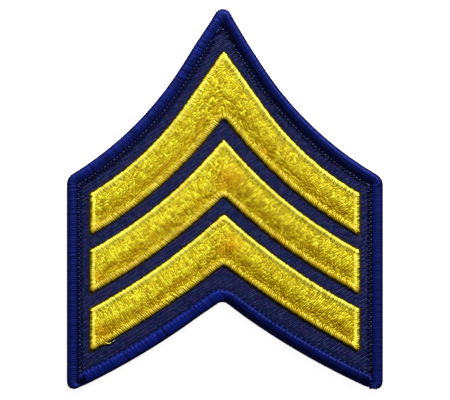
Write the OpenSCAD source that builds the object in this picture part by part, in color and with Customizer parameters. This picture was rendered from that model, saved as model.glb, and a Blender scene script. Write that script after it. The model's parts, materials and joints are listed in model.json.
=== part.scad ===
// Rank chevron patch: a twill ground edged with a thick overlocked border, and three
// embroidered chevrons, each a field of fill stitches inside a raised satin rim.
// The patch lies face up. +Y runs to the point, and z = 0 is the underside of the border.

/* [Outline] */
// Width across the straight sides
patch_w = 76.2; // [60:0.1:95]
// Length of each straight side, measured to its sharp corners
side_h = 52; // [42:0.1:62]
// Height of the point above the feet, before it is rounded
point_h = 94.3; // [84:0.1:108]
// Height of the notch above the feet, before it is rounded
notch_h = 22.6; // [14:0.1:30]
// How far the point and the notch lean from the middle
outline_lean = -0.8; // [-3:0.05:3]
// Radius of the point
point_r = 2; // [0.5:0.05:4]
// Radius of the two shoulders
shoulder_r = 2.8; // [0.5:0.05:5]
// Radius of the two feet
foot_r = 1.75; // [0.5:0.05:3]
// Radius of the notch
notch_r = 2.2; // [0.5:0.05:4]

/* [Ground] */
// Thickness of the twill with the stitching that binds it
ground_t = 1.1; // [0.8:0.05:2]

/* [Border] */
// Width of the border seen from the front
border_w = 2.9; // [2:0.05:4]
// How far the border stands above the ground
border_rise = 1; // [0.5:0.05:1.6]
// Thickness of the threads that pass under the ground
under_t = 0.4; // [0.2:0.05:0.8]
// How far the threads reach in under the ground
under_w = 2.3; // [1.6:0.05:3]
// Thickness of the threads round the ground's edge
edge_wrap_t = 0.55; // [0.4:0.05:0.9]

/* [Chevrons] */
// Bare twill between the border and the cut ends of the chevrons
end_gap = 2.7; // [1:0.1:5]
// How far the chevrons' peaks lean from the middle
chevron_lean = -0.3; // [-2:0.05:2]
// Radius of a chevron's peaks
peak_r = 0.8; // [0.3:0.05:1.5]
// Radius of the corners at a chevron's cut ends
end_r = 0.5; // [0.2:0.05:1]
// Width of the satin rim
rim_w = 1.25; // [0.8:0.05:1.8]
// Height of the satin rim above the ground
rim_h = 0.85; // [0.5:0.05:1.3]
// Thickness of the fill stitches above the ground
fill_t = 0.65; // [0.4:0.05:1]
// Width over which the fill rounds down at its edge
fill_edge_w = 0.5; // [0.2:0.05:0.9]

/* [Hidden] */

// Clearance between pieces that meet
gap = 0.05;
// Smallest radius left at a corner that an inset makes sharp
least_r = 0.15;
// Segments on each long arc, on a peak and on a corner
arc_steps = 10;
tip_steps = 5;
corner_steps = 4;

// A curve is one long edge of a chevron shape. It falls from its peak as a straight flank
// and goes on as an arc to the end. Its columns are the heights of the end and the peak,
// half the angle that the arc turns through, and the flank's share of the half width.
end_y = 0;
peak_y = 1;
bow = 2;
flank = 3;
top_curve = [side_h, point_h, 14, 0.25];
foot_curve = [0, notch_h, 6, 0.15];

// One row for each chevron. Heights at the cut ends are shares of the straight side,
// and heights at the peaks are shares of the way from the notch to the point.
low_end = 0;
high_end = 1;
low_peak = 2;
high_peak = 3;
low_bow = 4;
high_bow = 5;
high_flank = 6;
low_flank = 0.1;
chevrons = [
    [0.735, 0.930, 0.615, 0.840, 10.9, 12.1, 0.30],
    [0.464, 0.667, 0.350, 0.541, 7.3, 9.9, 0.12],
    [0.194, 0.394, 0.119, 0.290, 4.4, 6.5, 0.12]
];
upper_chevron = chevrons[0];
middle_chevron = chevrons[1];
lower_chevron = chevrons[2];
chevron_w = patch_w - 2 * (border_w + end_gap);

// Heights of the layers
ground_z = under_t;
ground_top = ground_z + ground_t;
stitch_z = ground_top + gap;

// The border's section. Columns are the share of its width in from the outer edge,
// and the share of the height between the ground's top and the crest.
crown = [
    [1.00, 0.00], [1.00, 0.25], [0.93, 0.58], [0.78, 0.87], [0.55, 1.00],
    [0.32, 0.93], [0.13, 0.62], [0.03, 0.12]
];
// The same below the ground's top, with heights as shares of the height from z = 0.
edge = [[0.00, 0.75], [0.04, 0.35], [0.14, 0.09], [0.26, 0.00]];

// Sections of a satin rim and of a fill's edge: shares across, and shares of the height
rim_section = [
    [0.0, 0.0], [0.0, 0.45], [0.1, 0.78], [0.3, 0.97],
    [0.7, 0.97], [0.9, 0.78], [1.0, 0.45], [1.0, 0.0]
];
fill_section = [[0.0, 0.0], [0.0, 0.5], [0.3, 0.85], [1.0, 1.0]];

// Slope of the flank, from the slope of the whole rise and the arc's turn
function flank_angle(curve, half_w) =
    let (rise = (curve[peak_y] - curve[end_y]) / half_w,
         turn = tan(curve[bow]),
         lift = rise + (1 - curve[flank]) * turn,
         base = 1 - rise * turn)
    atan(2 * lift / (base + sqrt(base * base + 4 * curve[flank] * turn * lift)));

// Radius of the arc that leaves the flank without a kink and meets the end
function arc_radius(curve, half_w) =
    let (chord_run = (1 - curve[flank]) * half_w,
         chord = chord_run / cos(flank_angle(curve, half_w) - curve[bow]))
    chord / (2 * sin(curve[bow]));

function towards(angle) = [sin(angle), cos(angle)];

// Points from the peak out to the side. side is 1 where the material lies below the curve
// and -1 where it lies above. inset moves every edge into the material by that distance.
function half_curve(curve, side, half_w, tip_r, corner_r, inset) =
    let (slope = flank_angle(curve, half_w),
         radius = arc_radius(curve, half_w),
         run = curve[flank] * half_w,
         centre = [run, curve[peak_y] - run * tan(slope)] + radius * towards(slope),
         shift = -side * inset,
         arc_r = radius - shift,
         inset_tip_r = max(tip_r + shift, least_r),
         tip = [0, curve[peak_y] + (shift - inset_tip_r) / cos(slope)],
         inset_corner_r = max(corner_r - inset, least_r),
         corner_x = half_w - inset - inset_corner_r,
         reach = arc_r + side * inset_corner_r,
         end_slope = asin((centre.x - corner_x) / reach),
         corner = centre - reach * towards(end_slope))
    concat(
        [for (i = [0:tip_steps]) tip + inset_tip_r * towards(slope * i / tip_steps)],
        [for (i = [0:arc_steps])
            centre - arc_r * towards(slope + (end_slope - slope) * i / arc_steps)],
        [for (i = [1:corner_steps])
            let (angle = (side * 90 - end_slope) * (1 - i / corner_steps))
            corner + inset_corner_r * [cos(angle), sin(angle)]]
    );

function reversed(points) = [for (i = [len(points) - 1:-1:0]) points[i]];

// Moves the middle sideways by lean and leaves the patch's sides where they are
function leaning(points, lean) =
    [for (p = points) [p.x + lean * (1 - abs(p.x) / (patch_w / 2)), p.y]];

// Closed outline between an upper and a lower curve, clockwise from the upper peak
function outline(upper, lower, w, radii, lean, inset) =
    let (right = concat(
             half_curve(upper, 1, w / 2, radii[0], radii[1], inset),
             reversed(half_curve(lower, -1, w / 2, radii[3], radii[2], inset))),
         left = [for (i = [len(right) - 2:-1:1]) [-right[i].x, right[i].y]])
    leaning(concat(right, left), lean);

function patch_outline(inset) =
    outline(top_curve, foot_curve, patch_w, [point_r, shoulder_r, foot_r, notch_r],
        outline_lean, inset);

function upper_edge(row) =
    [side_h * row[high_end], notch_h + (point_h - notch_h) * row[high_peak],
        row[high_bow], row[high_flank]];

function lower_edge(row) =
    [side_h * row[low_end], notch_h + (point_h - notch_h) * row[low_peak],
        row[low_bow], low_flank];

function chevron_outline(row, inset) =
    outline(upper_edge(row), lower_edge(row), chevron_w, [peak_r, end_r, end_r, peak_r],
        chevron_lean, inset);

// Height of the outline's middle, which becomes y = 0
heights = [for (p = patch_outline(0)) p.y];
middle_y = (max(heights) + min(heights)) / 2;

function triangles(quad) = [[quad[0], quad[1], quad[2]], [quad[0], quad[2], quad[3]]];

// Face over a flat outline, in strips that join each upper point to the lower one under it.
// The upper peak is point 0, and the lower peak is halfway round.
function cap(count) =
    let (half = count / 2)
    [for (k = [0:floor(half / 2) - 1])
        each concat(
            triangles([k, k + 1, half - k - 1, half - k]),
            triangles([(count - k) % count, half + k, half + k + 1, count - k - 1]))];

function raised(faces, by) = [for (f = faces) [for (i = f) i + by]];

// Solid through stacked outlines of equally many points. layers holds one outline for
// each height. A closed ring joins the last layer to the first, else both ends are capped.
module lofted(layers, levels, ring) {
    count = len(layers[0]);
    rows = len(layers);
    points = [for (j = [0:rows - 1]) for (p = layers[j]) [p.x, p.y - middle_y, levels[j]]];
    walls = [for (j = [0:ring ? rows - 1 : rows - 2]) for (i = [0:count - 1])
        each triangles([j * count + i,
            j * count + (i + 1) % count,
            (j + 1) % rows * count + (i + 1) % count,
            (j + 1) % rows * count + i])];
    caps = ring ? [] : concat(
        [for (f = cap(count)) reversed(f)],
        raised(cap(count), (rows - 1) * count));
    polyhedron(points, concat(walls, caps));
}

module ground() {
    color("#25245c")
    translate([0, -middle_y, ground_z])
    linear_extrude(ground_t)
    polygon(patch_outline(edge_wrap_t));
}

module merrow_border() {
    crest = ground_top + border_rise;
    section = concat(
        [for (p = crown) [p[0] * border_w, stitch_z + p[1] * (crest - stitch_z)]],
        [for (p = edge) [p[0] * border_w, p[1] * ground_top]],
        [[under_w, 0], [under_w, ground_z - gap],
            [edge_wrap_t - gap, ground_z - gap], [edge_wrap_t - gap, stitch_z]]);
    color("#1b2796")
    lofted([for (p = section) patch_outline(p[0])], [for (p = section) p[1]], true);
}

module satin_rim(row) {
    color("#f0dc34")
    lofted([for (p = rim_section) chevron_outline(row, p[0] * rim_w)],
        [for (p = rim_section) stitch_z + p[1] * (rim_h - gap)], true);
}

module fill_field(row) {
    color("#d8c420")
    lofted([for (p = fill_section) chevron_outline(row, rim_w + gap + p[0] * fill_edge_w)],
        [for (p = fill_section) stitch_z + p[1] * (fill_t - gap)], false);
}

module upper_chevron_fill() { fill_field(upper_chevron); }
module middle_chevron_fill() { fill_field(middle_chevron); }
module lower_chevron_fill() { fill_field(lower_chevron); }
module upper_chevron_rim() { satin_rim(upper_chevron); }
module middle_chevron_rim() { satin_rim(middle_chevron); }
module lower_chevron_rim() { satin_rim(lower_chevron); }

ground();
merrow_border();
upper_chevron_fill();
middle_chevron_fill();
lower_chevron_fill();
upper_chevron_rim();
middle_chevron_rim();
lower_chevron_rim();
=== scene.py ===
# Rank chevron patch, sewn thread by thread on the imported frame.
# Sizes in the dictionaries are millimetres, and everything built is in metres.
import json
import math
import random

import bpy
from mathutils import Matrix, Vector, noise

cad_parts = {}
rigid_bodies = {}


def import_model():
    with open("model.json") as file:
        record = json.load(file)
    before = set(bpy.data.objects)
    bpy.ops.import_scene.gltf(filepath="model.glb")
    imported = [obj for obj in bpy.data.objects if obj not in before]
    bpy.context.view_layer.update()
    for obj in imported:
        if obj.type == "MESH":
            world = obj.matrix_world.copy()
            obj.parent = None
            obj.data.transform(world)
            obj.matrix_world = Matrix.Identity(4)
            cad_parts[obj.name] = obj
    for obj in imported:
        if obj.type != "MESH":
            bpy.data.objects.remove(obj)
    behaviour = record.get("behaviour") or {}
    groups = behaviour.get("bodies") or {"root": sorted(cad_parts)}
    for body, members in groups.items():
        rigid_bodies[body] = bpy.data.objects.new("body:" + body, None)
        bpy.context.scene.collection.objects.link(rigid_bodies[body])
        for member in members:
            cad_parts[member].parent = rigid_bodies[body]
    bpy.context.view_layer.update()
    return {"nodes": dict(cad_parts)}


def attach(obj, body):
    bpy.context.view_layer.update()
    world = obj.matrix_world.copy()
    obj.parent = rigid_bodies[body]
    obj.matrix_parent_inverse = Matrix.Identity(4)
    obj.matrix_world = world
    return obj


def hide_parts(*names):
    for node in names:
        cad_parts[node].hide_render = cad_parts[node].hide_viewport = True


for thing in list(bpy.data.objects):  # start-up cube, lamp and camera
    bpy.data.objects.remove(thing)
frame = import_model()
mm = 0.001
dice = random.Random(11)  # one seeded source, so that every run sews the same patch
print("frame loaded")


# Camera, floor and light

# square on and far off, as the photograph; frameWidth is what it shows at the patch's face
camera = {"frameWidth": 108.7, "lens": 200, "sensor": 36, "patchHeight": 1.0}
distance = camera["frameWidth"] * camera["lens"] / camera["sensor"] + camera["patchHeight"]
bpy.ops.object.camera_add(location=(0, 0, distance * mm), rotation=(0, 0, 0))
eye = bpy.context.object
eye.name = "photo_camera"
eye.data.lens = camera["lens"]
eye.data.sensor_width = camera["sensor"]
bpy.context.scene.camera = eye

look = bpy.context.scene.view_settings
look.view_transform = "Standard"
look.look = "None"


def addNode(tree, kind, settings=None, links=None):
    # settings are node properties or unlinked sockets, links are sockets fed by an output
    node = tree.nodes.new(kind)
    for name, value in (settings or {}).items():
        if isinstance(name, str) and hasattr(node, name):
            setattr(node, name, value)
        else:
            node.inputs[name].default_value = value
    for socket, source in (links or {}).items():
        tree.links.new(source, node.inputs[socket])
    return node


def linear(hexColour):
    # sRGB hex to the linear colour that the shader wants
    parts = [int(hexColour[i:i + 2], 16) / 255 for i in (1, 3, 5)]
    return [p / 12.92 if p <= 0.04045 else ((p + 0.055) / 1.055) ** 2.4 for p in parts] + [1]


def newMaterial(name):
    made = bpy.data.materials.new(name)
    made.use_nodes = True
    made.node_tree.nodes.clear()
    return made, made.node_tree


studio = {
    "keyFrom": (150, 590, 480), "keySize": (240, 130), "keyWatts": 12.5,
    "sky": 0.1, "floorWhite": "#f4f4f2", "floorGlow": 0.9, "floorSize": 1400,
}
bpy.ops.mesh.primitive_plane_add(size=studio["floorSize"] * mm, location=(0, 0, 0))
floor = bpy.context.object
floor.name = "studio_floor"
paper, tree = newMaterial("white_paper_sweep")  # matt paper, lit through a little so it stays white
matt = addNode(tree, "ShaderNodeBsdfDiffuse", {"Color": linear(studio["floorWhite"])})
glow = addNode(tree, "ShaderNodeEmission", {"Color": (1, 1, 1, 1), "Strength": studio["floorGlow"]})
both = addNode(tree, "ShaderNodeAddShader", {}, {0: matt.outputs[0], 1: glow.outputs[0]})
addNode(tree, "ShaderNodeOutputMaterial", {}, {"Surface": both.outputs[0]})
floor.data.materials.append(paper)
floor.visible_diffuse = False  # the white floor doesn't light the patch's flanks
floor.visible_glossy = False

keyPlace = Vector(studio["keyFrom"]) * mm
bpy.ops.object.light_add(type="AREA", location=keyPlace)
key = bpy.context.object
key.name = "key_softbox"
key.data.shape = "RECTANGLE"  # a long lamp, level with the patch's top edge
key.data.size = studio["keySize"][0] * mm
key.data.size_y = studio["keySize"][1] * mm
key.data.energy = studio["keyWatts"]
key.rotation_euler = (-keyPlace).to_track_quat("-Z", "Y").to_euler()

world = bpy.data.worlds.new("studio_room")
bpy.context.scene.world = world
world.use_nodes = True
world.node_tree.nodes.clear()
room = addNode(world.node_tree, "ShaderNodeBackground",
               {"Color": (1, 1, 1, 1), "Strength": studio["sky"]})
addNode(world.node_tree, "ShaderNodeOutputWorld", {}, {"Surface": room.outputs[0]})
print("camera and light ready")


# Tools shared by the pieces

# heights of the CAD's flat faces: the cloth's, and those at the foot of what is sewn on it
faceHeights = {"ground": 1.5, "stitching": 1.55}
# a band of stitching lies between two outlines: how far in from the patch's edge those of the
# border are, and how wide the border and the rims are between theirs
borderInset = {"outer": 0.5, "inner": 2.9}
bandWidth = {"border": 2.4, "rim": 1.25}
pairStep = 0.5  # along a band, from one pair of points matched across it to the next
# filament embroidery thread: bright and silky, with a fine twist, a turn to 0.29 mm of strand
filament = {"perMetre": 3500, "detail": 2, "relief": 0.3, "depth": 0.05, "ior": 1.52, "gloss": 0.5}
# spun yarn: matt and hairy, a tuft to 0.2 mm, slightly uneven in its dye
spunYarn = {"perMetre": 5000, "detail": 3, "relief": 0.6, "depth": 0.05, "ior": 1.5, "gloss": 0.5,
            "roughness": 0.75, "glint": "#6070d0"}


def share(value):
    return max(0, min(1, value))  # kept between 0 and 1


def sway(most):
    return dice.uniform(-most, most)  # a little to either side


def towards(bearing):
    return Vector((math.cos(math.radians(bearing)), math.sin(math.radians(bearing))))


def patchy(at, size, seed):
    # slow variation over the patch, from -1 to 1; the bare noise seldom passes 0.6
    return max(-1, min(1, 1.6 * noise.noise(Vector((at.x / size, at.y / size, seed)))))


def onlySelect(thing):
    bpy.ops.object.select_all(action="DESELECT")
    thing.select_set(True)
    bpy.context.view_layer.objects.active = thing


def outlinesAt(node, height):
    # outlines in mm round the flat faces of a CAD node at one height, the widest first,
    # each anticlockwise from its highest point
    level, grid, gridToMm = 3e-6, 1e7, 1e-4  # corners meet where they agree to 0.1 micron
    mesh = frame["nodes"][node].data
    edges = set()
    for face in mesh.polygons:
        corners = [mesh.vertices[i].co for i in face.vertices]
        if all(abs(c.z - height * mm) < level for c in corners):
            spots = [(round(c.x * grid), round(c.y * grid)) for c in corners]
            for a, b in zip(spots, spots[1:] + spots[:1]):
                if (b, a) in edges:
                    edges.remove((b, a))
                else:
                    edges.add((a, b))
    follow = dict(edges)
    found = []
    while follow:
        spot = next(iter(follow))
        loop = []
        while spot in follow:
            loop.append(Vector((spot[0] * gridToMm, spot[1] * gridToMm)))
            spot = follow.pop(spot)
        turn = sum(a.cross(b) for a, b in zip(loop, loop[1:] + loop[:1]))
        if turn < 0:
            loop.reverse()
        top = max(range(len(loop)), key=lambda i: loop[i].y)
        found.append((abs(turn), loop[top:] + loop[:top]))
    found.sort(key=lambda pair: -pair[0])
    return [loop for turn, loop in found]


def crossings(outline, at, along):
    # distances from a point, along a direction, at which the line crosses a closed outline
    side = Vector((-along.y, along.x))
    found = []
    for a, b in zip(outline, outline[1:] + outline[:1]):
        p, q = (a - at).dot(side), (b - at).dot(side)
        if (p > 0) != (q > 0):
            hit = a.lerp(b, p / (p - q))
            found.append((hit - at).dot(along))
    return sorted(found)


def within(spans, s):
    return any(a < s < b for a, b in zip(spans[::2], spans[1::2]))


def shifted(outer, inner, inset, width):
    # outline at an inset between or beyond two matched ones that are a width apart
    return [a.lerp(b, inset / width) for a, b in zip(outer, inner)]


def nearestOn(loop, reach, spot):
    # length along a closed outline to its nearest point, and that point
    best = None
    for i, a in enumerate(loop):
        b = loop[(i + 1) % len(loop)]
        side = b - a
        part = share((spot - a).dot(side) / max(side.length_squared, 1e-12))
        near = a + side * part
        gap = (near - spot).length_squared
        if best is None or gap < best[0]:
            best = (gap, reach[i] + side.length * part, near)
    return best[1:]


def squarePairs(outer, inner, step):
    # matching points on two outlines, square across the band, fanned round its corners
    loops, reaches = (outer, inner), []
    for loop in loops:
        reach = [0.0]
        for a, b in zip(loop, loop[1:] + loop[:1]):
            reach.append(reach[-1] + (b - a).length)
        reaches.append(reach)
    pairs = []
    for one, other in ((0, 1), (1, 0)):
        for i, a in enumerate(loops[one]):
            b = loops[one][(i + 1) % len(loops[one])]
            count = max(1, round((b - a).length / step))
            for k in range(count):
                spot = a.lerp(b, k / count)
                here = reaches[one][i] + (b - a).length * k / count
                there, near = nearestOn(loops[other], reaches[other], spot)
                whole = reaches[other][-1]
                matched = here * whole / reaches[one][-1]
                if there - matched > whole / 2:  # across the point where the outlines start
                    there -= whole
                elif matched - there > whole / 2:
                    there += whole
                ends = (spot, near) if one == 0 else (near, spot)
                pairs.append((here + there, ends))
    pairs.sort(key=lambda pair: pair[0])
    return [ends for place, ends in pairs]


def feetAlong(outer, inner, pitch, jitter):
    # pairs of feet across a band, a pitch apart where the band is longest
    pairs = squarePairs(outer, inner, pairStep)
    ahead = pairs[1:] + pairs[:1]
    steps = [max((b[j] - a[j]).length for j in (0, 1)) for a, b in zip(pairs, ahead)]
    total = sum(steps)
    number = round(total / pitch)
    feet = []
    i, passed = 0, 0.0
    for k in range(number):
        want = (k + 0.5 + sway(jitter)) * total / number
        while i < len(pairs) - 1 and passed + steps[i] < want:
            passed += steps[i]
            i += 1
        part = share((want - passed) / max(steps[i], 1e-9))
        feet.append(tuple(pairs[i][j].lerp(ahead[i][j], part) for j in (0, 1)))
    return feet


def drawThread(name, route, width, thickness, sides=6):
    # one stitch in its own xz plane: a bevelled curve made a mesh, wider than it is thick;
    # a route is a list of x, z and size of the thread
    line = bpy.data.curves.new(name, "CURVE")
    line.dimensions = "3D"
    line.bevel_depth = thickness / 2 * mm
    line.bevel_resolution = (sides - 4) // 2
    line.use_fill_caps = True
    spline = line.splines.new("POLY")
    spline.points.add(len(route) - 1)
    for point, (x, z, size) in zip(spline.points, route):
        point.co = (x * mm, 0, z * mm, 1)
        point.radius = size
    thread = bpy.data.objects.new(name, line)
    bpy.context.collection.objects.link(thread)
    onlySelect(thread)
    bpy.ops.object.convert(target="MESH")
    bpy.ops.object.mode_set(mode="EDIT")
    bpy.ops.mesh.select_all(action="SELECT")
    bpy.ops.transform.resize(value=(1, width / thickness, 1))
    bpy.ops.mesh.normals_make_consistent(inside=False)
    bpy.ops.object.mode_set(mode="OBJECT")
    bpy.ops.object.shade_smooth()
    return thread


def stitchNodes():
    # node group that lays one stitch on every point, turned, stretched and tinted by the point
    tree = bpy.data.node_groups.new("layStitches", "GeometryNodeTree")
    tree.interface.new_socket("Points", in_out="INPUT", socket_type="NodeSocketGeometry")
    tree.interface.new_socket("Stitch", in_out="INPUT", socket_type="NodeSocketObject")
    tree.interface.new_socket("Sewn", in_out="OUTPUT", socket_type="NodeSocketGeometry")
    start = addNode(tree, "NodeGroupInput")
    stitch = addNode(tree, "GeometryNodeObjectInfo", {}, {"Object": start.outputs["Stitch"]})
    turn = addNode(tree, "GeometryNodeInputNamedAttribute",
                   {"data_type": "FLOAT_VECTOR", "Name": "turn"})
    stretch = addNode(tree, "GeometryNodeInputNamedAttribute",
                      {"data_type": "FLOAT_VECTOR", "Name": "stretch"})
    lay = addNode(tree, "GeometryNodeInstanceOnPoints", {}, {
        "Points": start.outputs["Points"], "Instance": stitch.outputs["Geometry"],
        "Rotation": turn.outputs["Attribute"], "Scale": stretch.outputs["Attribute"]})
    real = addNode(tree, "GeometryNodeRealizeInstances", {}, {"Geometry": lay.outputs["Instances"]})
    addNode(tree, "NodeGroupOutput", {}, {"Sewn": real.outputs["Geometry"]})
    return tree


layStitches = stitchNodes()


def sew(name, stitch, places, material):
    # joins copies of one stitch; a place is its foot, its turn, its stretch and its tint
    mesh = bpy.data.meshes.new(name)
    mesh.from_pydata([Vector(p[0]) * mm for p in places], [], [])
    for column, label in ((1, "turn"), (2, "stretch"), (3, "tint")):
        values = mesh.attributes.new(label, "FLOAT_VECTOR", "POINT")
        values.data.foreach_set("vector", [x for p in places for x in p[column]])
    sewn = bpy.data.objects.new(name, mesh)
    bpy.context.collection.objects.link(sewn)
    onlySelect(sewn)
    maker = sewn.modifiers.new("layStitches", "NODES")
    maker.node_group = layStitches
    maker["Socket_1"] = stitch
    bpy.ops.object.modifier_apply(modifier=maker.name)
    sewn.data.materials.clear()
    sewn.data.materials.append(material)
    for spare in ("turn", "stretch"):
        if spare in sewn.data.attributes:
            sewn.data.attributes.remove(sewn.data.attributes[spare])
    bpy.data.objects.remove(stitch)
    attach(sewn, "root")
    print(name, len(places), "stitches,", len(sewn.data.polygons), "faces")
    return sewn


def underlay(name, node, inset, material):
    # a shrunken copy of a CAD solid, which shows between the threads as the stitching under them,
    # in a dark colour that is painted shade
    body = bpy.data.objects.new(name, frame["nodes"][node].data.copy())
    bpy.context.collection.objects.link(body)
    onlySelect(body)
    bpy.ops.object.mode_set(mode="EDIT")
    bpy.ops.mesh.select_all(action="SELECT")
    bpy.ops.mesh.remove_doubles(threshold=1e-6)
    bpy.ops.transform.shrink_fatten(value=-inset * mm)
    bpy.ops.object.mode_set(mode="OBJECT")
    body.data.materials.clear()
    body.data.materials.append(material)
    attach(body, "root")


def thicken(sheet, rise):
    # draws a flat sheet up or down to a closed solid
    onlySelect(sheet)
    bpy.ops.object.mode_set(mode="EDIT")
    bpy.ops.mesh.select_all(action="SELECT")
    bpy.ops.mesh.extrude_region_move(TRANSFORM_OT_translate={"value": (0, 0, rise * mm)})
    bpy.ops.mesh.select_all(action="SELECT")
    bpy.ops.mesh.normals_make_consistent(inside=False)
    bpy.ops.object.mode_set(mode="OBJECT")


def flatPiece(name, spots, faces, low, high, material):
    # a flat solid between two heights, from the faces of its underside
    mesh = bpy.data.meshes.new(name)
    mesh.from_pydata([(p.x * mm, p.y * mm, low * mm) for p in spots], [], faces)
    piece = bpy.data.objects.new(name, mesh)
    bpy.context.collection.objects.link(piece)
    thicken(piece, high - low)
    mesh.materials.append(material)
    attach(piece, "root")
    return piece


def threadMaterial(name, strand, finish):
    # a stitch's own tint picks its shade between the deep, middle and pale colours, and how much of
    # each cast lies over it; the relief is the twist or the hairs of the strand
    yarn = {**strand, **finish}
    made, tree = newMaterial(name)
    place = addNode(tree, "ShaderNodeTexCoord")
    twist = addNode(tree, "ShaderNodeTexNoise",
                    {"Scale": yarn["perMetre"], "Detail": yarn["detail"]},
                    {"Vector": place.outputs["Object"]})
    relief = addNode(tree, "ShaderNodeBump",
                     {"Strength": yarn["relief"], "Distance": yarn["depth"] * mm},
                     {"Height": twist.outputs["Fac"]})
    skin = addNode(tree, "ShaderNodeBsdfPrincipled", {
        "Roughness": yarn["roughness"], "IOR": yarn["ior"], "Specular IOR Level": yarn["gloss"],
        "Specular Tint": linear(yarn["glint"]),
        }, {"Normal": relief.outputs[0]})
    addNode(tree, "ShaderNodeOutputMaterial", {}, {"Surface": skin.outputs[0]})
    if "plain" in yarn:  # stitching under the threads, in one colour
        skin.inputs["Base Color"].default_value = linear(yarn["plain"])
        return made
    tint = addNode(tree, "ShaderNodeAttribute", {"attribute_name": "tint"})
    split = addNode(tree, "ShaderNodeSeparateXYZ", {}, {0: tint.outputs["Vector"]})
    ramp = addNode(tree, "ShaderNodeValToRGB", {}, {0: split.outputs["X"]})
    ramp.color_ramp.elements[0].color = linear(yarn["colours"][0])
    ramp.color_ramp.elements[1].color = linear(yarn["colours"][2])
    ramp.color_ramp.elements.new(0.5).color = linear(yarn["colours"][1])
    colour = ramp.outputs[0]
    for axis, cast in zip("YZ", yarn.get("casts", ())):
        blend = addNode(tree, "ShaderNodeMix", {"data_type": "RGBA", 7: linear(cast)},
                        {0: split.outputs[axis], 6: colour})
        colour = blend.outputs[2]
    tree.links.new(colour, skin.inputs["Base Color"])
    return made


groundOutline = outlinesAt("ground", faceHeights["ground"])[0]
borderOuter, borderInner = outlinesAt("merrow_border", faceHeights["stitching"])[:2]
chevrons = ["upper", "middle", "lower"]
rims = {c: outlinesAt(c + "_chevron_rim", faceHeights["stitching"])[:2] for c in chevrons}
print("outlines", len(groundOutline), len(borderOuter), len(borderInner))


def borderAt(inset):
    # outline at an inset from the patch's edge
    return shifted(borderOuter, borderInner, inset - borderInset["outer"], bandWidth["border"])


def rimAt(c, inset):
    # outline at an inset from a chevron's edge
    return shifted(rims[c][0], rims[c][1], inset, bandWidth["rim"])


# Ground: polyester and cotton drill, a 3/1 twill of navy yarns

# the weft and the back of the cloth, in one navy as deep as the darkest floats, which also stands
# in as painted shade in the gaps beside the gold and the needle rows
groundSheet = {"bottom": 0.42, "top": 1.35, "finish": {"plain": "#0c1030"}}
# the floats of the warp on its face
weave = {
    "wale": 0.42, "grain": 0.8,  # two cords to a rib 0.84 mm wide, each of floats 0.8 mm long
    "slope": 32, "width": 0.44, "thickness": 0.16, "rise": 0.14,
    "route": [(-0.5, -0.06, 0.6), (0, 0.02, 1), (0.5, -0.06, 0.6)],
    # of every two cords one is paler and stands higher
    "cords": ({"shade": 0.3, "lift": -0.035}, {"shade": 0.7, "lift": 0.02}),
    # how near floats come to the patch's edge and to the gold, tried so far from their middle
    "needleGap": 3.45, "goldGap": 0.28, "halfFloat": 0.3,
    # how floats differ: aside, up and down, roll, pitch and bearing, length, width and distance
    "wander": 0.04, "settle": (-0.03, 0.02), "roll": 0.1, "pitch": 0.04, "astray": 5,
    "lengths": (0.9, 1.15), "widths": (0.85, 1.05), "spacing": (0.85, 1.15),
    # uneven dye: shade and cast in patches and from float to float, with the patches' sizes
    "shadeVary": (0.35, 1.0, 0.45), "castVary": (0.4, 1.8, 0.35), "mostCast": 0.9,
    # navy with a violet and a teal cast
    "finish": {"colours": ("#0a0f34", "#1a1c40", "#2e3054"), "casts": ("#2a1c50", "#142a48")},
}
twill = flatPiece("twill_ground", groundOutline, [list(range(len(groundOutline)))],
                  groundSheet["bottom"], groundSheet["top"],
                  threadMaterial("navy_drill_weft_gap_shade", spunYarn, groundSheet["finish"]))
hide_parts("ground")

clear = borderAt(weave["needleGap"])
golds = [rimAt(c, -weave["goldGap"]) for c in chevrons]
yarn = drawThread("yarn_float", weave["route"], weave["width"], weave["thickness"], sides=4)
rib = towards(weave["slope"])
acrossRib = Vector((-rib.y, rib.x))
places = []
cordCount = int(max(p.length for p in clear) / weave["wale"])
for k in range(-cordCount, cordCount + 1):
    start = acrossRib * k * weave["wale"]
    bare = crossings(clear, start, rib)
    sewn = [crossings(g, start, rib) for g in golds]
    if not bare:
        continue
    cord = weave["cords"][k % 2]
    reach = bare[0] + dice.uniform(0, weave["grain"])
    while reach < bare[-1]:
        ends = (reach - weave["halfFloat"], reach + weave["halfFloat"])
        if all(within(bare, s) for s in ends) and not any(within(g, s) for g in sewn for s in ends):
            at = start + rib * reach + acrossRib * sway(weave["wander"])
            patches, size, single = weave["shadeVary"]
            shade = cord["shade"] + patches * patchy(at, size, seed=3) + sway(single)
            patches, size, single = weave["castVary"]
            cast = patches * patchy(at, size, seed=4) + sway(single)
            height = groundSheet["top"] + weave["rise"] - weave["thickness"] / 2 \
                + cord["lift"] + dice.uniform(*weave["settle"])
            turn = (sway(weave["roll"]), sway(weave["pitch"]),
                    math.radians(weave["slope"] + sway(weave["astray"])))
            stretch = (dice.uniform(*weave["lengths"]), dice.uniform(*weave["widths"]), 1)
            places.append(((at.x, at.y, height), turn, stretch,
                           (shade, max(0, min(weave["mostCast"], cast)),
                            max(0, min(weave["mostCast"], -cast)))))
        reach += weave["grain"] * dice.uniform(*weave["spacing"])
floats = sew("twill_face_yarns", yarn, places,
             threadMaterial("navy_drill_warp", spunYarn, weave["finish"]))


# Border: textured polyester overlock yarn, wrapped over the edge

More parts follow.
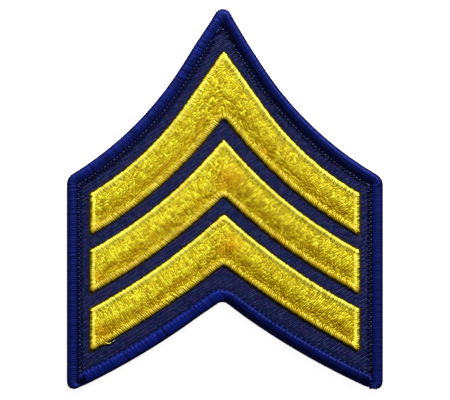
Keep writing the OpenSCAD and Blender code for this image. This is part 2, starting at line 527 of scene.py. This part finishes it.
borderYarn = {
    "pitch": 0.52, "jitter": 0.1, "slant": 6, "astray": 2.5,
    "pairing": 3,  # wraps meet two by two at the needle's holes
    # how far in from the patch's edge, height, and size of the yarn, first on the underside
    "under": [(2.25, 0.20, 0.6), (1.5, 0.17, 1), (0.8, 0.19, 1), (0.34, 0.36, 1)],
    # how uneven wraps differ in height of foot, width and height, and the size of paler patches
    "bob": 0.02, "widthVary": 0.15, "heightVary": (-0.03, 0.02), "patch": 1.6,
    # bulky and dull, with blue glints where the wraps bend
    "shade": 0.5,
    "finish": {"colours": ("#040a3a", "#060f4a", "#0a1766"), "roughness": 0.52, "glint": "#7080ff"},
}
# the same yarn, painted near-black as the shade between the wraps
borderPadding = {"inset": 0.45,
                 "finish": {"plain": "#040620", "roughness": 0.8, "glint": "#000000"}}
# the bead leans where the yarn was pulled: for each side how unevenly its wraps lie, how far each
# is rolled under its neighbour in degrees, how much paler it is painted (painted light and shade
# for how the lamp falls on that side), by how much that varies, and its way over the top
borderBeads = {
    "upper_left": {
        "width": 0.8, "thickness": 0.24, "uneven": 0.7, "roll": 0, "paler": 0.05, "vary": 0.3,
        "route": [
            (0.12, 0.75, 1), (0.11, 1.25, 1), (0.17, 1.74, 1), (0.3, 2.04, 1), (0.5, 2.2, 1),
            (0.75, 2.28, 1), (1.05, 2.32, 1), (1.4, 2.27, 1), (1.8, 2.12, 1), (2.2, 1.9, 1),
            (2.52, 1.66, 0.9), (2.7, 1.42, 0.6)]},
    "upper_right": {
        "width": 0.95, "thickness": 0.18, "uneven": 0.4, "roll": 0, "paler": -0.05, "vary": 0.2,
        "route": [
            (0.12, 0.75, 1), (0.11, 1.2, 1), (0.2, 1.62, 1), (0.4, 1.98, 1), (0.7, 2.24, 1),
            (1.0, 2.32, 1), (1.4, 2.2, 1), (1.85, 1.97, 1), (2.3, 1.7, 0.9), (2.7, 1.42, 0.6)]},
    "left": {
        "width": 0.85, "thickness": 0.18, "uneven": 0.3, "roll": -6, "paler": -0.12, "vary": 0.12,
        "route": [
            (0.12, 0.75, 1), (0.11, 1.2, 1), (0.22, 1.68, 1), (0.45, 2.02, 1), (0.8, 2.2, 1),
            (1.15, 2.28, 1), (1.5, 2.24, 1), (1.85, 2.14, 1), (2.2, 2.0, 1), (2.5, 1.8, 0.9),
            (2.7, 1.5, 0.6)]},
    "bottom_left": {
        "width": 0.8, "thickness": 0.24, "uneven": 0.8, "roll": 0, "paler": 0.45, "vary": 0.3,
        "route": [
            (0.12, 0.75, 1), (0.11, 1.1, 1), (0.26, 1.45, 1), (0.62, 1.76, 1), (1.1, 1.98, 1),
            (1.6, 2.14, 1), (2.1, 2.25, 1), (2.45, 2.27, 1), (2.75, 2.16, 1), (2.95, 1.92, 0.9),
            (3.05, 1.55, 0.6)]},
    "bottom_right": {
        "width": 0.8, "thickness": 0.22, "uneven": 0.7, "roll": 0, "paler": -0.1, "vary": 0.25,
        "route": [
            (0.12, 0.72, 1), (0.11, 1.05, 1), (0.3, 1.38, 1), (0.75, 1.66, 1), (1.3, 1.94, 1),
            (1.85, 2.17, 1), (2.28, 2.28, 1), (2.58, 2.17, 1), (2.78, 1.88, 0.9),
            (2.87, 1.45, 0.6)]},
}
borderBeads["right"] = dict(borderBeads["left"], roll=6)
# bearing of a side, anticlockwise from +x: up to which each side reaches, and how far it stands out
borderSides = ((10, "right"), (90, "upper_right"), (170, "upper_left"), (205, "left"),
               (270, "bottom_right"), (335, "bottom_left"), (361, "right"))
standsOut = ((0, 0.09), (40, 0.1), (130, 0.26), (180, 0.1), (240, 0.14), (300, -0.05), (361, 0.09))
rightBulge = {"from": 34, "least": 0.1}  # the right side stands out at least so far
# the peak and the notch lean to the right, most of all in their middle
borderLean = {"middle": -0.8, "reach": 6, "notch": -19, "peak": 38, "most": 0.42}
# at the two sharp bottom corners, below "from" and outside "clear", the side's wraps run straight
# on down, outside "under"; the bottom's wraps, along "way", are pressed down beside them, out of
# the bead's whole rise: short ones lie below the side's column, and the others end at it, at
# "stop", painted a bit darker as the column's shadow on them
corner = {
    "from": -40.5, "clear": 33.0, "column": 35.2, "under": 36.6, "edgeGap": 0.1,
    "way": (0.47, 0.88), "below": 1.3, "belowLift": -0.6, "stop": 35.4, "shortest": 0.6,
    "tucked": {-1: -0.38, 1: -0.15}, "rise": 2.3, "paintedShadow": 0.35,
}


def bearingOf(across):
    return math.degrees(math.atan2(-across.y, -across.x)) % 360


def sideOf(across):
    return next(side for limit, side in borderSides if bearingOf(across) < limit)


def standOut(across, spot):
    bearing = bearingOf(across)
    for (a, low), (b, high) in zip(standsOut, standsOut[1:]):
        if a <= bearing < b:
            out = low + (high - low) * (bearing - a) / (b - a)
            return max(out, rightBulge["least"]) if spot.x > rightBulge["from"] else out
    return 0


def atCorner(outer, inner):
    # where a wrap ends inside, and how far it is pressed down
    hand = math.copysign(1, outer.x)
    wide, fromMiddle = bandWidth["border"], abs(outer.x)
    if outer.y > corner["from"] or fromMiddle < corner["clear"]:
        return inner, 0
    if fromMiddle > corner["under"]:
        justInside = outer - Vector((hand * 0.01, 0))
        room = max(crossings(borderOuter, justInside, Vector((-hand, 0))))
        return outer - Vector((hand * min(wide, room - corner["edgeGap"]), 0)), 0
    way = Vector((corner["way"][0] * hand, corner["way"][1]))
    if fromMiddle > corner["column"]:
        return outer + way * corner["below"], corner["belowLift"]
    room = (corner["stop"] - fromMiddle) / corner["way"][0]
    return outer + way * max(corner["shortest"], min(wide, room)), corner["tucked"][int(hand)]


places = {side: [] for side in borderBeads}
pairing = borderYarn["pairing"]
for outer, inner in feetAlong(borderOuter, borderInner, borderYarn["pitch"], borderYarn["jitter"]):
    aside = abs(outer.x - borderLean["middle"])
    if aside < borderLean["reach"] and not borderLean["notch"] < outer.y < borderLean["peak"]:
        lean = Vector((borderLean["most"] * (1 - aside / borderLean["reach"]), 0))
        outer, inner = outer + lean, inner + lean
    inner, lift = atCorner(outer, inner)
    across = inner - outer
    side = sideOf(across)
    bead = borderBeads[side]
    uneven = bead["uneven"]
    out = standOut(across, outer)
    outer = outer - across.normalized() * out
    pairing = -pairing
    slant = borderYarn["slant"] + pairing * uneven if lift == 0 else 0
    slant += sway(borderYarn["astray"]) * uneven
    turn = math.atan2(across.y, across.x) + math.radians(slant)
    # each side's paleness is painted light and shade
    shade = borderYarn["shade"] + bead["paler"] \
        + bead["vary"] * (patchy(outer, borderYarn["patch"], seed=9) + sway(1))
    if lift:  # tucked in beside the side's wraps
        # painted shadow of the side's wraps
        shade -= corner["paintedShadow"]
    places[side].append((
        (outer.x, outer.y, sway(borderYarn["bob"]) * uneven), (math.radians(bead["roll"]), 0, turn),
        ((across.length + out) / bandWidth["border"], 1 + sway(borderYarn["widthVary"]) * uneven,
         (1 + lift / corner["rise"]) * (1 + dice.uniform(*borderYarn["heightVary"]) * uneven)),
        (shade, 0, 0)))
borderBlue = threadMaterial("overlock_yarn_royal", filament, borderYarn["finish"])
for side, bead in borderBeads.items():
    route = [(s - borderInset["outer"], z, size)
             for s, z, size in borderYarn["under"] + bead["route"]]
    wrap = drawThread("wrap_" + side, route, bead["width"], bead["thickness"])
    border = sew("merrow_wraps_" + side, wrap, places[side], borderBlue)
    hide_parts("merrow_border")
borderPaintedShade = threadMaterial("overlock_underlay_painted_shade", filament, borderPadding["finish"])
underlay("merrow_padding", "merrow_border", borderPadding["inset"], borderPaintedShade)

# inside the border: the rows of stitches that the overlocker's needle leaves
needle = {
    "width": 0.42, "thickness": 0.26,
    "route": [(-0.36, -0.2, 0.5), (-0.2, -0.02, 0.95), (0, 0.05, 1), (0.2, -0.02, 0.95),
              (0.36, -0.2, 0.5)],
    # on each kind of side: pitch, then rows of stitches, each with its thread, inset, step along
    # the edge, lean, height, length, width and brightness
    "upper_left": (0.96, (
        ("slate", 2.74, 0, 35, 1.76, 0.58, 0.9, 0.75),
        ("slate", 3.28, 0.5, -30, 1.56, 0.55, 0.7, 0.1),
        ("black", 2.5, 0.5, 60, 1.72, 1.1, 1.1, 0.5),
        ("black", 2.95, 0.45, 60, 1.6, 1.1, 1.2, 0.5),
        ("black", 3.15, 0, 60, 1.56, 1.1, 1.1, 0.5),
        ("black", 3.5, 0.5, 40, 1.5, 0.9, 0.9, 0.5))),
    "upper_right": (0.96, (
        ("slate", 3.1, 0, 20, 1.66, 0.8, 0.75, 0.6),
        ("slate", 3.5, 0.4, 20, 1.54, 0.6, 0.7, 0.1),
        ("black", 2.5, 0, 60, 1.72, 1.1, 1.3, 0.1),
        ("black", 2.55, 0.5, 60, 1.72, 1.1, 1.3, 0.1),
        ("black", 2.85, 0.4, 60, 1.62, 1.0, 1.2, 0.3),
        ("black", 3.2, 0.5, 40, 1.54, 1.0, 0.9, 0.5))),
    "side": (1.1, (
        ("slate", 2.76, 0, 70, 1.74, 0.62, 0.9, 0.6),
        ("slate", 3.15, 0.45, 40, 1.58, 0.9, 0.7, 0.2),
        ("black", 2.74, 0.5, 80, 1.72, 0.9, 1.1, 0.6),
        ("black", 3.12, 0.1, 40, 1.56, 1.0, 0.9, 0.5),
        ("black", 3.45, 0.6, 40, 1.52, 0.7, 0.7, 0.5))),
    "bottom": (1.34, (
        ("slate", 2.98, 0, 75, 1.6, 0.8, 0.8, 0.3),
        ("black", 2.98, 0.5, 80, 1.56, 1.0, 1.25, 0.5),
        ("black", 3.1, 0.6, 50, 1.53, 0.7, 1.0, 0.5))),
    # the rows follow the border's inner outline, and an outline as far in as the guide gives the
    # way inwards; under the peak the two sides' rows meet and half of their steps are left out,
    # and the bottom's rows end inside the corners
    "guide": 3.9, "jitter": 0.04, "crowdedAbove": 37.5, "leftOut": 0.5, "bottomTo": 34,
    # straight rows run down the sides, and the left ones drift inwards below "from"
    "columnTop": 2.5, "columnFoot": {-1: -43.4, 1: -41.0},
    "driftLeft": {"most": 0.3, "from": -5, "over": 30}, "driftRight": 0.1,
    # how stitches differ: place, bearing, size and brightness
    "wander": 0.05, "astray": 8, "sizes": (0.9, 1.1), "vary": 0.3,
    # polyester sewing thread in two painted copies: slate, its painted highlight where it catches
    # the light, and near-black, painted shade for the needle holes and for the bead's shadow on the
    # cloth
    "finish": {
        "slate": {"colours": ("#0c142e", "#1e2846", "#3e4a6a"),
                  "roughness": 0.5, "glint": "#a0b0ff"},
        "black": {"colours": ("#040626", "#060a2e", "#0a0e3a"),
                  "roughness": 0.6, "glint": "#202040"},
    },
}
needlePlaces = {thread: [] for thread in needle["finish"]}


def needleRows(kind, outer, inward):
    # the stitches that belong to one step along the edge; outer is on the border's inner outline
    along = Vector((-inward.y, inward.x))
    pitch, stitches = needle[kind]
    for thread, inset, step, lean, height, length, width, bright in stitches:
        at = outer + inward * (inset - borderInset["inner"] + sway(needle["wander"])) \
            + along * pitch * (step + sway(needle["wander"]))
        turn = math.atan2(along.y, along.x) + math.radians(lean + sway(needle["astray"]))
        needlePlaces[thread].append((
            (at.x, at.y, height), (0, 0, turn),
            (length * dice.uniform(*needle["sizes"]), width * dice.uniform(*needle["sizes"]), 1),
            (bright + sway(needle["vary"]), 0, 0)))


for kind in ("upper_left", "upper_right", "bottom"):
    for outer, inner in feetAlong(borderInner, borderAt(needle["guide"]),
                                  needle[kind][0], needle["jitter"]):
        inward = (inner - outer).normalized()
        crowded = outer.y > needle["crowdedAbove"] and dice.random() < needle["leftOut"]
        cornered = kind == "bottom" and abs(outer.x) > needle["bottomTo"]
        if sideOf(inward).startswith(kind) and not crowded and not cornered:
            needleRows(kind, outer, inward)
left = needle["driftLeft"]
for hand in (-1, 1):
    y = needle["columnTop"]
    while y > needle["columnFoot"][hand]:
        drift = needle["driftRight"]
        if hand < 0:
            drift = left["most"] * share((left["from"] - y) / left["over"])
        needleRows("side", Vector((hand * (corner["column"] - drift), y)), Vector((-hand, 0)))
        y -= needle["side"][0]
for thread, finish in needle["finish"].items():
    stitch = drawThread("needle_stitch_" + thread, needle["route"],
                        needle["width"], needle["thickness"])
    sew("needle_stitches_" + thread, stitch, needlePlaces[thread],
        threadMaterial("needle_thread_" + thread, filament, finish))
print("border sewn")


# Chevrons: gold rayon, a field of short stitches inside a padded satin rim

rimThread = {
    "pitch": 0.5, "jitter": 0.06,
    "stagger": 0.09,  # every other stitch reaches further into the field
    # how stitches differ: bearing, start, length, foot, width and height
    "astray": 4, "ragged": 0.08, "reach": 1.02, "reachVary": 0.03, "bob": (-0.02, 0.01),
    "widths": (0.92, 1.1), "heights": (0.98, 1.01),
    # slow changes of shade and of warmth along the rim: how much, and over what length
    "shadePatches": (0.2, 3), "warmPatches": (0.3, 5),
    # rayon filament laid side by side, with near-white glints; its pale end is lighter than the
    # fill's, a painted sheen that the upper edges take most
    "finish": {"colours": ("#a08802", "#ccb80a", "#eee44c"), "casts": ("#d49c14",),
               "roughness": 0.3, "glint": "#f8ffe8", "relief": 0.25, "gloss": 0.72},
}
# for each edge of a chevron: the thread, how pale it is and by how much it varies, how warm it is,
# how far the stitches start in from the edge, and their way over the rim; the upper edges, turned
# to the lamp, are painted paler, and the lower ones darker and warmer, as painted light and shade;
# the ends are worked flatter and more on the slant
rimEdges = {
    "upper": {
        "width": 0.48, "thickness": 0.28, "shade": 0.9, "vary": 0.22, "warm": 0,
        "start": 0.08, "slant": 8, "route": [
            (0.12, 1.4, 0.8), (0.1, 1.62, 1), (0.15, 1.82, 1), (0.28, 1.98, 1), (0.46, 2.09, 1),
            (0.68, 2.1, 1), (0.9, 1.99, 0.95), (1.15, 1.89, 0.85), (1.42, 1.83, 0.6)]},
    "lower": {
        "width": 0.35, "thickness": 0.32, "shade": 0.65, "vary": 0.35, "warm": 0.25,
        "start": 0.06, "slant": 13, "route": [
            (0.08, 1.42, 0.7), (0.1, 1.58, 0.9), (0.22, 1.8, 1), (0.44, 1.98, 1), (0.72, 2.1, 1),
            (0.98, 2.13, 1), (1.18, 2.03, 1), (1.36, 1.76, 0.7)]},
    "end": {
        "width": 0.72, "thickness": 0.16, "shade": 0.85, "vary": 0.12, "warm": 0,
        "start": 0.1, "slant": 28, "route": [
            (0.05, 1.4, 0.8), (0.14, 1.52, 1), (0.26, 1.7, 1), (0.4, 1.88, 1), (0.56, 2.0, 1),
            (0.78, 2.07, 1), (1.02, 2.06, 1), (1.24, 1.97, 1), (1.42, 1.84, 0.8)]},
}
# an edge is an end where its stitches run this level, a lower one between two bearings, and
# otherwise an upper one
rimBearings = {"level": 0.97, "lowerFrom": 190, "lowerTo": 345}
# three fine stitches draw each peak to a point
rimTip = {"asides": (-0.12, 0.12, 0), "out": 0.16, "fan": 2, "lift": 0.02,
          "stretch": (1.5, 0.7, 1), "shade": 0.8}
# rayon under the satin, painted a dark olive as the shade between the satin stitches, and a dark
# ring on the cloth round each rim, a painted shadow at the satin's foot
rimPadding = {"inset": 0.33, "finish": {"plain": "#7c6602", "roughness": 0.7, "glint": "#604800",
                                        "gloss": 0.2}}
rimShadowRing = {"outer": -0.36, "inner": 0.2, "low": 1.3, "high": 1.45,
           "finish": {"plain": "#2a240c", "roughness": 0.9, "glint": "#000000"}}

fillThread = {
    "row": 0.46, "stitch": 1.0, "width": 0.4, "thickness": 0.2, "foot": 1.68, "inset": 1.15,
    "route": [(-0.5, -0.07, 0.65), (-0.34, 0.01, 1), (0, 0.04, 1), (0.34, 0.01, 1),
              (0.5, -0.07, 0.65)],
    # layers of stitches: their bearing, their share of the left and of the right arm, and their
    # height; the left arm's share passes into the right's over the mixing width, up to the middle
    "layers": {
        "upper": ((44, 1, 0, 0), (36, 0, 1, 0), (125, 0.15, 0.35, 0.03)),
        "middle": ((128, 1, 0.15, 0), (38, 0.4, 1, 0.03)),
        "lower": ((120, 1, 0.12, 0), (44, 0.4, 1, 0.03)),
    },
    "mix": 5.0, "firstRow": 8,  # the rows are counted from a point so far below the peak
    # how stitches differ: bearing, aside, up and down, roll and pitch, lengths along a row, widths
    # and heights, with the shortest that is sewn and how far each runs under the next
    "astray": 14, "wander": 0.08, "bob": 0.02, "roll": 0.12, "pitch": 0.06, "firstCut": 0.7,
    "lengths": (0.65, 1.3), "widths": (0.85, 1.1), "heights": (0.9, 1.1),
    "shortest": 0.35, "overlap": 0.12,
    # shade: at rest, less on the right arm and on slopes that face away from the lamp, both painted
    # shade, in patches and from stitch to stitch; neighbours in one row share a streak of painted
    # sheen and lie a bit higher
    "shade": 0.56, "rightDarker": 0.17, "rightOver": 4, "awayDarker": 0.3, "patches": (0.3, 1.5),
    "vary": 0.42, "streak": 0.4, "streakSize": (5, 1.1), "streakLift": 0.03,
    # warmth: on those slopes, as painted shade, and at listed spots, with their reach
    "awayWarmer": 0.85, "spotWarmer": 0.5, "mostWarm": 0.8,
    "warmSpots": ((0.8, 5.4, 4.5), (1.3, -11.2, 4.5), (-30, -31.6, 3.2), (-31, -18.8, 2.6),
                  (9, 11, 3.0)),
    # the same rayon in short stitches that lie every way: duller, with a greener glint
    "finish": {"colours": ("#967e04", "#c0ac0a", "#d8d22e"), "casts": ("#d88e04",),
               "roughness": 0.45, "glint": "#f0ff80", "gloss": 0.55},
}
# the fields swell between their rims, less on the right arm and at the ends, with uneven padding
fieldDome = {
    "left": 0.9, "right": 0.68, "arms": 12, "endOver": 3, "atEnd": 0.4, "swell": (0.1, 1.5),
    "probe": 0.3,  # how far to either side slopes are taken
    "endGap": 0.05,  # the last columns lie so near the ends
}
# the rayon's own padding, painted a dull dark gold as the shade between the fill stitches
fillBed = {"inset": 0.9, "columns": 160, "rows": 14, "endGap": 0.02, "below": 0.02,
           "thickness": 0.3,
           "finish": {"plain": "#96800a", "roughness": 0.7, "glint": "#806000"}}
goldSatin = threadMaterial("gold_rayon_satin", filament, rimThread["finish"])
goldFill = threadMaterial("gold_rayon_fill", filament, fillThread["finish"])
fillBedPaintedShade = threadMaterial("gold_underlay_painted_shade", filament, fillBed["finish"])
rimPaintedShade = threadMaterial("rim_underlay_painted_shade", filament, rimPadding["finish"])
rimShadowRingPaint = threadMaterial("rim_foot_painted_shadow", filament, rimShadowRing["finish"])


def rimEdgeOf(across):
    bearing = bearingOf(across)
    if abs(across.x) > rimBearings["level"] * across.length:
        return "end"
    lower = rimBearings["lowerFrom"] <= bearing <= rimBearings["lowerTo"]
    return "lower" if lower else "upper"


def sewRim(c):
    outline, inside = rims[c]
    places = {edge: [] for edge in rimEdges}
    stagger = rimThread["stagger"]
    for outer, inner in feetAlong(outline, inside, rimThread["pitch"], rimThread["jitter"]):
        across = inner - outer
        stagger = -stagger
        edge = rimEdgeOf(across)
        kind = rimEdges[edge]
        slant = kind["slant"] + sway(rimThread["astray"])
        turn = math.atan2(across.y, across.x) + math.radians(slant)
        outer = outer + across.normalized() * (kind["start"] + sway(rimThread["ragged"]))
        patches, size = rimThread["shadePatches"]
        shade = kind["shade"] + patches * patchy(outer, size, seed=5) + sway(kind["vary"])
        height = dice.uniform(*rimThread["bob"])
        reach = rimThread["reach"] + (stagger if edge != "end" else 0) \
            + sway(rimThread["reachVary"])
        stretch = (across.length / bandWidth["rim"] * reach, dice.uniform(*rimThread["widths"]),
                   dice.uniform(*rimThread["heights"]))
        patches, size = rimThread["warmPatches"]
        warmth = kind["warm"] + max(0, patchy(outer, size, seed=6)) * patches
        places[edge].append(((outer.x, outer.y, height), (0, 0, turn), stretch, (shade, warmth, 0)))
    if c != "lower":
        peak = (inside[0] - outline[0]).normalized()
        for aside in rimTip["asides"]:
            at = outline[0] - peak * rimTip["out"] + Vector((-peak.y, peak.x)) * aside
            turn = math.atan2(peak.y, peak.x) - aside * rimTip["fan"]
            places["upper"].append(((at.x, at.y, rimTip["lift"]), (0, 0, turn), rimTip["stretch"],
                                    (rimTip["shade"], 0, 0)))
    for edge, kind in rimEdges.items():
        stitch = drawThread(c + "_rim_stitch", kind["route"], kind["width"], kind["thickness"])
        rim = sew(c + "_satin_rim_" + edge, stitch, places[edge], goldSatin)
        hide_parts(c + "_chevron_rim")
    count = len(outline)
    # a dark ring laid flat on the cloth round the rim: painted shadow
    flatPiece(c + "_edge_run", rimAt(c, rimShadowRing["outer"]) + rimAt(c, rimShadowRing["inner"]),
              [(i, (i + 1) % count, count + (i + 1) % count, count + i) for i in range(count)],
              rimShadowRing["low"], rimShadowRing["high"], rimShadowRingPaint)
    underlay(c + "_rim_padding", c + "_chevron_rim", rimPadding["inset"], rimPaintedShade)


def fieldHeight(field, at):
    # the field is level beside its rims and swells between them; it is measured in columns
    # 0.1 mm wide
    gap = fieldDome["endGap"]
    column = round(max(field["west"] + gap, min(field["east"] - gap, at.x)), 1)
    if column not in field["cuts"]:
        field["cuts"][column] = crossings(field["outline"], Vector((column, 0)), Vector((0, 1)))
    cut = field["cuts"][column]
    if len(cut) < 2:
        return 0
    t = share((at.y - cut[0]) / (cut[-1] - cut[0]))
    fromEnd = share(min(at.x - field["west"], field["east"] - at.x) / fieldDome["endOver"])
    arm = share(0.5 + (at.x - field["middle"]) / fieldDome["arms"])
    dome = fieldDome["left"] * (1 - arm) + fieldDome["right"] * arm
    swell, size = fieldDome["swell"]
    return math.sin(math.pi * t) ** 2 * dome \
        * (fieldDome["atEnd"] + (1 - fieldDome["atEnd"]) * fromEnd) \
        + 4 * t * (1 - t) * swell * patchy(at, size, seed=21)


def fillPlace(field, at, length, turn, lift, streak):
    # one stitch on the dome, tilted with it; climb, lean and away are slopes along it, across it
    # and down the patch
    probe = fieldDome["probe"]
    ahead = Vector((math.cos(turn), math.sin(turn))) * probe
    left = Vector((-ahead.y, ahead.x))
    climb, lean, away = [
        (fieldHeight(field, at + way) - fieldHeight(field, at - way)) / (2 * probe)
        for way in (ahead, left, Vector((0, probe)))]
    away = max(0, away)
    rightArm = share((at.x - field["middle"]) / fillThread["rightOver"])
    warmth = sum(max(0, 1 - (at - Vector(spot[:2])).length / spot[2])
                 for spot in fillThread["warmSpots"]) * fillThread["spotWarmer"]
    warmth = min(fillThread["mostWarm"], warmth + fillThread["awayWarmer"] * away)
    patches, size = fillThread["patches"]
    shade = fillThread["shade"] - fillThread["rightDarker"] * rightArm \
        - fillThread["awayDarker"] * away + patches * patchy(at, size, seed=7) \
        + sway(fillThread["vary"]) + fillThread["streak"] * streak
    height = fillThread["foot"] + fieldHeight(field, at) + lift + sway(fillThread["bob"])
    return ((at.x, at.y, height),
            (math.atan(lean) + sway(fillThread["roll"]),
             -math.atan(climb) + sway(fillThread["pitch"]), turn),
            (length, dice.uniform(*fillThread["widths"]), dice.uniform(*fillThread["heights"])),
            (shade, warmth, 0))


def sewField(c, field):
    peak = rims[c][0][0]
    middle = Vector((peak.x, peak.y - fillThread["firstRow"]))
    stitch = drawThread(c + "_fill_stitch", fillThread["route"],
                        fillThread["width"], fillThread["thickness"])
    rowCount = int((field["east"] - field["west"]) / fillThread["row"])
    streakAcross, streakAlong = fillThread["streakSize"]
    places = []
    for bearing, onLeft, onRight, lift in fillThread["layers"][c]:
        along = towards(bearing)
        beside = Vector((-along.y, along.x))
        for k in range(-rowCount, rowCount + 1):
            start = middle + beside * k * fillThread["row"]
            spans = crossings(field["outline"], start, along)
            for a, b in zip(spans[::2], spans[1::2]):
                s = a - fillThread["stitch"] * dice.uniform(0, fillThread["firstCut"])
                while s < b:
                    begin = max(a, s)
                    s += fillThread["stitch"] * dice.uniform(*fillThread["lengths"])
                    finish = min(b, s)
                    at = start + along * (begin + finish) / 2 + beside * sway(fillThread["wander"])
                    # rows lie far apart in this noise, so that each has its own streaks
                    streak = patchy(Vector((k * fillThread["row"] * streakAcross, s / streakAlong)),
                                    1.0, seed=31 + bearing)
                    arm = share(1 + (at.x - field["middle"]) / fillThread["mix"])
                    if finish - begin > fillThread["shortest"] \
                            and dice.random() < onLeft + (onRight - onLeft) * arm:
                        length = finish - begin + fillThread["overlap"]
                        turn = math.radians(bearing + sway(1) * fillThread["astray"])
                        raised = lift + fillThread["streakLift"] * streak
                        places.append(fillPlace(field, at, length, turn, raised, streak))
    fill = sew(c + "_fill_stitches", stitch, places, goldFill)
    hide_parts(c + "_chevron_fill")


def layBed(c, field):
    # the domed padding that shows, in its painted shade, between the fill stitches, a grid drawn to
    # the field's outline
    bedding = rimAt(c, fillBed["inset"])
    gap = fillBed["endGap"]
    bpy.ops.mesh.primitive_grid_add(x_subdivisions=fillBed["columns"],
                                    y_subdivisions=fillBed["rows"], size=1)
    bed = bpy.context.object
    bed.name = c + "_fill_bed"
    for spot in bed.data.vertices:
        x = field["west"] + gap + (field["east"] - field["west"] - 2 * gap) * (spot.co.x + 0.5)
        cut = crossings(bedding, Vector((x, 0)), Vector((0, 1)))
        at = Vector((x, cut[0] + (cut[-1] - cut[0]) * (spot.co.y + 0.5)))
        height = fillThread["foot"] + fieldHeight(field, at) - fillBed["below"]
        spot.co = (at.x * mm, at.y * mm, height * mm)
    thicken(bed, -fillBed["thickness"])
    bpy.ops.object.shade_smooth()
    bed.data.materials.append(fillBedPaintedShade)
    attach(bed, "root")


for c in chevrons:
    sewRim(c)
    outline = rimAt(c, fillThread["inset"])
    field = {"outline": outline, "middle": rims[c][0][0].x, "cuts": {},
             "west": min(p.x for p in outline), "east": max(p.x for p in outline)}
    sewField(c, field)
    layBed(c, field)

# a pulled thread hangs in loops at the left foot of the lowest chevron: place, bearing and size
looseThread = {
    "loops": ((-28.24, -34.06, -23, 1.0), (-26.98, -33.9, 50, 0.4), (-28.9, -34.55, -60, 0.3)),
    "route": [(-0.78, -0.06, 0.8), (-0.62, 0.24, 1), (-0.28, 0.5, 1), (0.12, 0.54, 1),
              (0.52, 0.38, 1), (0.8, 0.05, 0.8)],
    "width": 0.24, "height": 1.85, "shade": 1,
}
loop = drawThread("loose_loop", looseThread["route"], looseThread["width"], looseThread["width"])
loops = [((x, y, looseThread["height"]), (math.pi / 2, 0, math.radians(bearing)),
          (size, size, size), (looseThread["shade"], 0, 0))
         for x, y, bearing, size in looseThread["loops"]]
sew("lower_loose_loops", loop, loops, goldSatin)
print("chevrons sewn")
